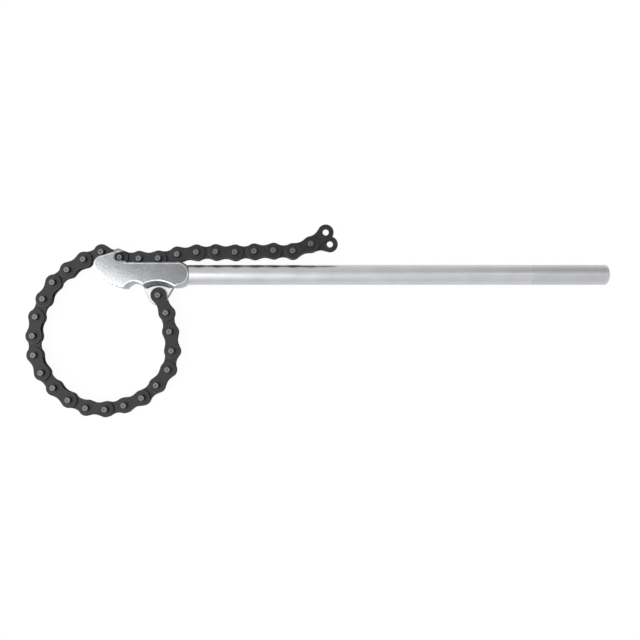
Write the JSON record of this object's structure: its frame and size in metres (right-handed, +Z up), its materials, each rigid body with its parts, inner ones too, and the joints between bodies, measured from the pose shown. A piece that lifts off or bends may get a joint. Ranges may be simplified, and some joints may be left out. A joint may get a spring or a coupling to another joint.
{
  "type": "chain pipe wrench",
  "caption": "Chain pipe wrench: plated forged jaw head with a toothed nose, round bar handle with a knurled grip, and a black leaf chain looped and hooked back into the head",
  "frame": {"origin": "on the head's lower face, under the handle's axis and level with the anchor pin", "axes": "+X along the handle towards the grip, +Y across it towards the chain slot, +Z up through the cheeks along the pins"},
  "size_m": [0.5774, 0.1913, 0.024],
  "materials": {
    "forged_head": "satin nickel plating over a forged and ground face",
    "handle_steel": "bright satin plating, knurled at the grip",
    "chain_plate": "oiled black oxide",
    "chain_pin": "bare ground steel ends"
  },
  "bodies": {
    "wrench": {"jaw_head": "forged_head", "handle_bar": "handle_steel"},
    "outer_link_01": {"outer_plates_01": "chain_plate", "chain_pins_01": "chain_pin"},
    "inner_link_01": {"inner_plates_01": "chain_plate"},
    "outer_link_02": {"outer_plates_02": "chain_plate", "chain_pins_02": "chain_pin"},
    "inner_link_02": {"inner_plates_02": "chain_plate"},
    "outer_link_03": {"outer_plates_03": "chain_plate", "chain_pins_03": "chain_pin"},
    "inner_link_03": {"inner_plates_03": "chain_plate"},
    "outer_link_04": {"outer_plates_04": "chain_plate", "chain_pins_04": "chain_pin"},
    "inner_link_04": {"inner_plates_04": "chain_plate"},
    "outer_link_05": {"outer_plates_05": "chain_plate", "chain_pins_05": "chain_pin"},
    "inner_link_05": {"inner_plates_05": "chain_plate"},
    "outer_link_06": {"outer_plates_06": "chain_plate", "chain_pins_06": "chain_pin"},
    "inner_link_06": {"inner_plates_06": "chain_plate"},
    "outer_link_07": {"outer_plates_07": "chain_plate", "chain_pins_07": "chain_pin"},
    "inner_link_07": {"inner_plates_07": "chain_plate"},
    "outer_link_08": {"outer_plates_08": "chain_plate", "chain_pins_08": "chain_pin"},
    "inner_link_08": {"inner_plates_08": "chain_plate"},
    "outer_link_09": {"outer_plates_09": "chain_plate", "chain_pins_09": "chain_pin"},
    "inner_link_09": {"inner_plates_09": "chain_plate"},
    "outer_link_10": {"outer_plates_10": "chain_plate", "chain_pins_10": "chain_pin"},
    "inner_link_10": {"inner_plates_10": "chain_plate"},
    "outer_link_11": {"outer_plates_11": "chain_plate", "chain_pins_11": "chain_pin"},
    "inner_link_11": {"inner_plates_11": "chain_plate"},
    "outer_link_12": {"outer_plates_12": "chain_plate", "chain_pins_12": "chain_pin"},
    "inner_link_12": {"inner_plates_12": "chain_plate"},
    "outer_link_13": {"outer_plates_13": "chain_plate", "chain_pins_13": "chain_pin"},
    "inner_link_13": {"inner_plates_13": "chain_plate"},
    "outer_link_14": {"outer_plates_14": "chain_plate", "chain_pins_14": "chain_pin"},
    "inner_link_14": {"inner_plates_14": "chain_plate"},
    "outer_link_15": {"outer_plates_15": "chain_plate", "chain_pins_15": "chain_pin"},
    "inner_link_15": {"inner_plates_15": "chain_plate"},
    "outer_link_16": {"outer_plates_16": "chain_plate", "chain_pins_16": "chain_pin"},
    "end_link_near": {"end_plate_near": "chain_plate"},
    "end_link_far": {"end_plate_far": "chain_plate"}
  },
  "joints": [
    {"name": "anchor_hinge", "type": "hinge", "parent": "wrench", "child": "outer_link_01", "pos_m": [0, -0.0206, 0.012], "axis": [0, 0, 1], "range_deg": [0, 20]},
    {"name": "chain_hinge_02", "type": "hinge", "parent": "outer_link_01", "child": "inner_link_01", "pos_m": [0.00776, -0.038, 0.012], "axis": [0, 0, 1], "range_deg": [-0.2, 16.5]},
    {"name": "chain_hinge_03", "type": "hinge", "parent": "inner_link_01", "child": "outer_link_02", "pos_m": [0.01141, -0.05669, 0.012], "axis": [0, 0, 1], "range_deg": [-0.2, 6.8]},
    {"name": "chain_hinge_04", "type": "hinge", "parent": "outer_link_02", "child": "inner_link_02", "pos_m": [0.0134, -0.07564, 0.012], "axis": [0, 0, 1], "range_deg": [-4.7, 0.2]},
    {"name": "chain_hinge_05", "type": "hinge", "parent": "inner_link_02", "child": "outer_link_03", "pos_m": [0.00943, -0.09427, 0.012], "axis": [0, 0, 1], "range_deg": [-10.9, 0.2]},
    {"name": "chain_hinge_06", "type": "hinge", "parent": "outer_link_03", "child": "inner_link_03", "pos_m": [-0.00178, -0.10968, 0.012], "axis": [0, 0, 1], "range_deg": [-14.1, 0.2]},
    {"name": "chain_hinge_07", "type": "hinge", "parent": "inner_link_03", "child": "outer_link_04", "pos_m": [-0.01617, -0.12216, 0.012], "axis": [0, 0, 1], "range_deg": [-13.9, 0.2]},
    {"name": "chain_hinge_08", "type": "hinge", "parent": "outer_link_04", "child": "inner_link_04", "pos_m": [-0.03371, -0.12957, 0.012], "axis": [0, 0, 1], "range_deg": [-10.5, 0.2]},
    {"name": "chain_hinge_09", "type": "hinge", "parent": "inner_link_04", "child": "outer_link_05", "pos_m": [-0.05236, -0.1335, 0.012], "axis": [0, 0, 1], "range_deg": [-4.7, 0.2]},
    {"name": "chain_hinge_10", "type": "hinge", "parent": "outer_link_05", "child": "inner_link_05", "pos_m": [-0.07136, -0.13213, 0.012], "axis": [0, 0, 1], "range_deg": [-0.2, 4.7]},
    {"name": "chain_hinge_11", "type": "hinge", "parent": "inner_link_05", "child": "outer_link_06", "pos_m": [-0.08874, -0.12433, 0.012], "axis": [0, 0, 1], "range_deg": [-0.2, 4.7]},
    {"name": "chain_hinge_12", "type": "hinge", "parent": "outer_link_06", "child": "inner_link_06", "pos_m": [-0.10351, -0.1123, 0.012], "axis": [0, 0, 1], "range_deg": [-0.2, 4.7]},
    {"name": "chain_hinge_13", "type": "hinge", "parent": "inner_link_06", "child": "outer_link_07", "pos_m": [-0.11544, -0.09745, 0.012], "axis": [0, 0, 1], "range_deg": [-0.2, 4.7]},
    {"name": "chain_hinge_14", "type": "hinge", "parent": "outer_link_07", "child": "inner_link_07", "pos_m": [-0.12282, -0.07989, 0.012], "axis": [0, 0, 1], "range_deg": [-0.2, 4.9]},
    {"name": "chain_hinge_15", "type": "hinge", "parent": "inner_link_07", "child": "outer_link_08", "pos_m": [-0.12373, -0.06086, 0.012], "axis": [0, 0, 1], "range_deg": [-0.2, 5.2]},
    {"name": "chain_hinge_16", "type": "hinge", "parent": "outer_link_08", "child": "inner_link_08", "pos_m": [-0.12099, -0.04201, 0.012], "axis": [0, 0, 1], "range_deg": [-0.2, 4.7]},
    {"name": "chain_hinge_17", "type": "hinge", "parent": "inner_link_08", "child": "outer_link_09", "pos_m": [-0.11377, -0.02438, 0.012], "axis": [0, 0, 1], "range_deg": [-4.7, 0.2]},
    {"name": "chain_hinge_18", "type": "hinge", "parent": "outer_link_09", "child": "inner_link_09", "pos_m": [-0.10415, -0.00793, 0.012], "axis": [0, 0, 1], "range_deg": [-4.7, 0.2]},
    {"name": "chain_hinge_19", "type": "hinge", "parent": "inner_link_09", "child": "outer_link_10", "pos_m": [-0.0897, 0.00448, 0.012], "axis": [0, 0, 1], "range_deg": [-4.7, 0.2]},
    {"name": "chain_hinge_20", "type": "hinge", "parent": "outer_link_10", "child": "inner_link_10", "pos_m": [-0.07366, 0.01475, 0.012], "axis": [0, 0, 1], "range_deg": [-4.7, 0.2]},
    {"name": "chain_hinge_21", "type": "hinge", "parent": "inner_link_10", "child": "outer_link_11", "pos_m": [-0.05607, 0.02208, 0.012], "axis": [0, 0, 1], "range_deg": [-4.7, 0.2]},
    {"name": "chain_hinge_22", "type": "hinge", "parent": "outer_link_11", "child": "inner_link_11", "pos_m": [-0.0378, 0.0167, 0.012], "axis": [0, 0, 1], "range_deg": [0, 40]},
    {"name": "chain_hinge_23", "type": "hinge", "parent": "inner_link_11", "child": "outer_link_12", "pos_m": [-0.01878, 0.01557, 0.012], "axis": [0, 0, -1], "range_deg": [-40, 0]},
    {"name": "chain_hinge_24", "type": "hinge", "parent": "outer_link_12", "child": "inner_link_12", "pos_m": [0.00026, 0.0159, 0.012], "axis": [0, 0, 1], "range_deg": [-1, 40]},
    {"name": "chain_hinge_25", "type": "hinge", "parent": "inner_link_12", "child": "outer_link_13", "pos_m": [0.0189, 0.01986, 0.012], "axis": [0, 0, -1], "range_deg": [-40, 1]},
    {"name": "chain_hinge_26", "type": "hinge", "parent": "outer_link_13", "child": "inner_link_13", "pos_m": [0.03784, 0.02185, 0.012], "axis": [0, 0, 1], "range_deg": [-2, 40]},
    {"name": "chain_hinge_27", "type": "hinge", "parent": "inner_link_13", "child": "outer_link_14", "pos_m": [0.05689, 0.02219, 0.012], "axis": [0, 0, -1], "range_deg": [-40, 2]},
    {"name": "chain_hinge_28", "type": "hinge", "parent": "outer_link_14", "child": "inner_link_14", "pos_m": [0.07594, 0.02185, 0.012], "axis": [0, 0, 1], "range_deg": [-3, 40]},
    {"name": "chain_hinge_29", "type": "hinge", "parent": "inner_link_14", "child": "outer_link_15", "pos_m": [0.09496, 0.02285, 0.012], "axis": [0, 0, -1], "range_deg": [-40, 5]},
    {"name": "chain_hinge_30", "type": "hinge", "parent": "outer_link_15", "child": "inner_link_15", "pos_m": [0.114, 0.02352, 0.012], "axis": [0, 0, 1], "range_deg": [-8, 40]},
    {"name": "chain_hinge_31", "type": "hinge", "parent": "inner_link_15", "child": "outer_link_16", "pos_m": [0.13305, 0.02318, 0.012], "axis": [0, 0, -1], "range_deg": [-40, 12]},
    {"name": "end_hinge_near", "type": "hinge", "parent": "outer_link_16", "child": "end_link_near", "pos_m": [0.15083, 0.03001, 0.012], "axis": [0, 0, 1], "range_deg": [-45, 40]},
    {"name": "end_hinge_far", "type": "hinge", "parent": "outer_link_16", "child": "end_link_far", "pos_m": [0.15083, 0.03001, 0.012], "axis": [0, 0, -1], "range_deg": [-40, 30]}
  ],
  "couplings": [
    {"joint": "chain_hinge_02", "follows": "anchor_hinge", "ratio": 0.745},
    {"joint": "chain_hinge_03", "follows": "anchor_hinge", "ratio": 0.307},
    {"joint": "chain_hinge_04", "follows": "anchor_hinge", "ratio": -0.212},
    {"joint": "chain_hinge_05", "follows": "anchor_hinge", "ratio": -0.491},
    {"joint": "chain_hinge_06", "follows": "anchor_hinge", "ratio": -0.637},
    {"joint": "chain_hinge_07", "follows": "anchor_hinge", "ratio": -0.627},
    {"joint": "chain_hinge_08", "follows": "anchor_hinge", "ratio": -0.472},
    {"joint": "chain_hinge_09", "follows": "anchor_hinge", "ratio": -0.212},
    {"joint": "chain_hinge_10", "follows": "anchor_hinge", "ratio": 0.212},
    {"joint": "chain_hinge_11", "follows": "anchor_hinge", "ratio": 0.212},
    {"joint": "chain_hinge_12", "follows": "anchor_hinge", "ratio": 0.212},
    {"joint": "chain_hinge_13", "follows": "anchor_hinge", "ratio": 0.212},
    {"joint": "chain_hinge_14", "follows": "anchor_hinge", "ratio": 0.222},
    {"joint": "chain_hinge_15", "follows": "anchor_hinge", "ratio": 0.236},
    {"joint": "chain_hinge_16", "follows": "anchor_hinge", "ratio": 0.212},
    {"joint": "chain_hinge_17", "follows": "anchor_hinge", "ratio": -0.212},
    {"joint": "chain_hinge_18", "follows": "anchor_hinge", "ratio": -0.212},
    {"joint": "chain_hinge_19", "follows": "anchor_hinge", "ratio": -0.212},
    {"joint": "chain_hinge_20", "follows": "anchor_hinge", "ratio": -0.212},
    {"joint": "chain_hinge_21", "follows": "anchor_hinge", "ratio": -0.212}
  ]
}
